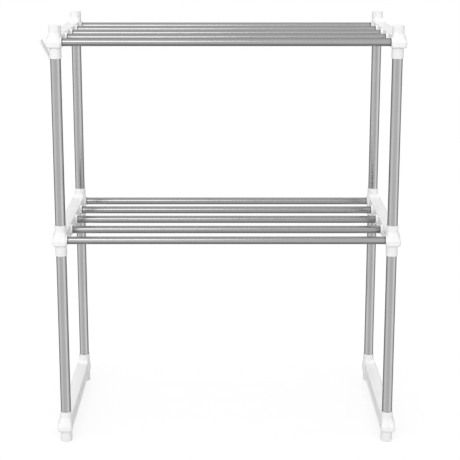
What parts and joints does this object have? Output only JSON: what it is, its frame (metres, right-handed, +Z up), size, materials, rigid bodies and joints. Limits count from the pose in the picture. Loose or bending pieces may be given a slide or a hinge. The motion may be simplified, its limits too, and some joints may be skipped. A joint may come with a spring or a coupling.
{
  "type": "microwave rack",
  "caption": "Free-standing rack of steel tubes and white moulded corners, with open shelves of parallel tubes over a clear bay for a countertop oven, and a lift-off hook at one side.",
  "frame": {"origin": "on the floor, midway between the four uprights", "axes": "+Z up, +X to the right as seen from the front, the front faces -Y"},
  "size_m": [0.5652, 0.2904, 0.667],
  "materials": {
    "white_plastic": "semi-gloss",
    "hook_plastic": "semi-gloss",
    "upright_steel": "polished",
    "shelf_steel": "polished"
  },
  "bodies": {
    "rack": {"base_rail_left": "white_plastic", "base_rail_right": "white_plastic", "middle_rail_left": "white_plastic", "middle_rail_right": "white_plastic", "top_rail_left": "white_plastic", "top_rail_right": "white_plastic", "lower_upright_front_left": "upright_steel", "lower_upright_rear_left": "upright_steel", "lower_upright_front_right": "upright_steel", "lower_upright_rear_right": "upright_steel", "upper_upright_front_left": "upright_steel", "upper_upright_rear_left": "upright_steel", "upper_upright_front_right": "upright_steel", "upper_upright_rear_right": "upright_steel", "middle_shelf_tube_1": "shelf_steel", "middle_shelf_tube_2": "shelf_steel", "middle_shelf_tube_3": "shelf_steel", "middle_shelf_tube_4": "shelf_steel", "middle_shelf_tube_5": "shelf_steel", "top_shelf_tube_1": "shelf_steel", "top_shelf_tube_2": "shelf_steel", "top_shelf_tube_3": "shelf_steel", "top_shelf_tube_4": "shelf_steel", "top_shelf_tube_5": "shelf_steel", "top_cap_front_left": "white_plastic", "top_cap_rear_left": "white_plastic", "top_cap_front_right": "white_plastic", "top_cap_rear_right": "white_plastic", "foot_cap_front_left": "white_plastic", "foot_cap_rear_left": "white_plastic", "foot_cap_front_right": "white_plastic", "foot_cap_rear_right": "white_plastic"},
    "hook": {"side_hook": "hook_plastic"}
  },
  "joints": [
    {"name": "hook_lift", "type": "slide", "parent": "rack", "child": "hook", "axis": [0, 0, 1], "range_m": [0, 0.05]}
  ]
}
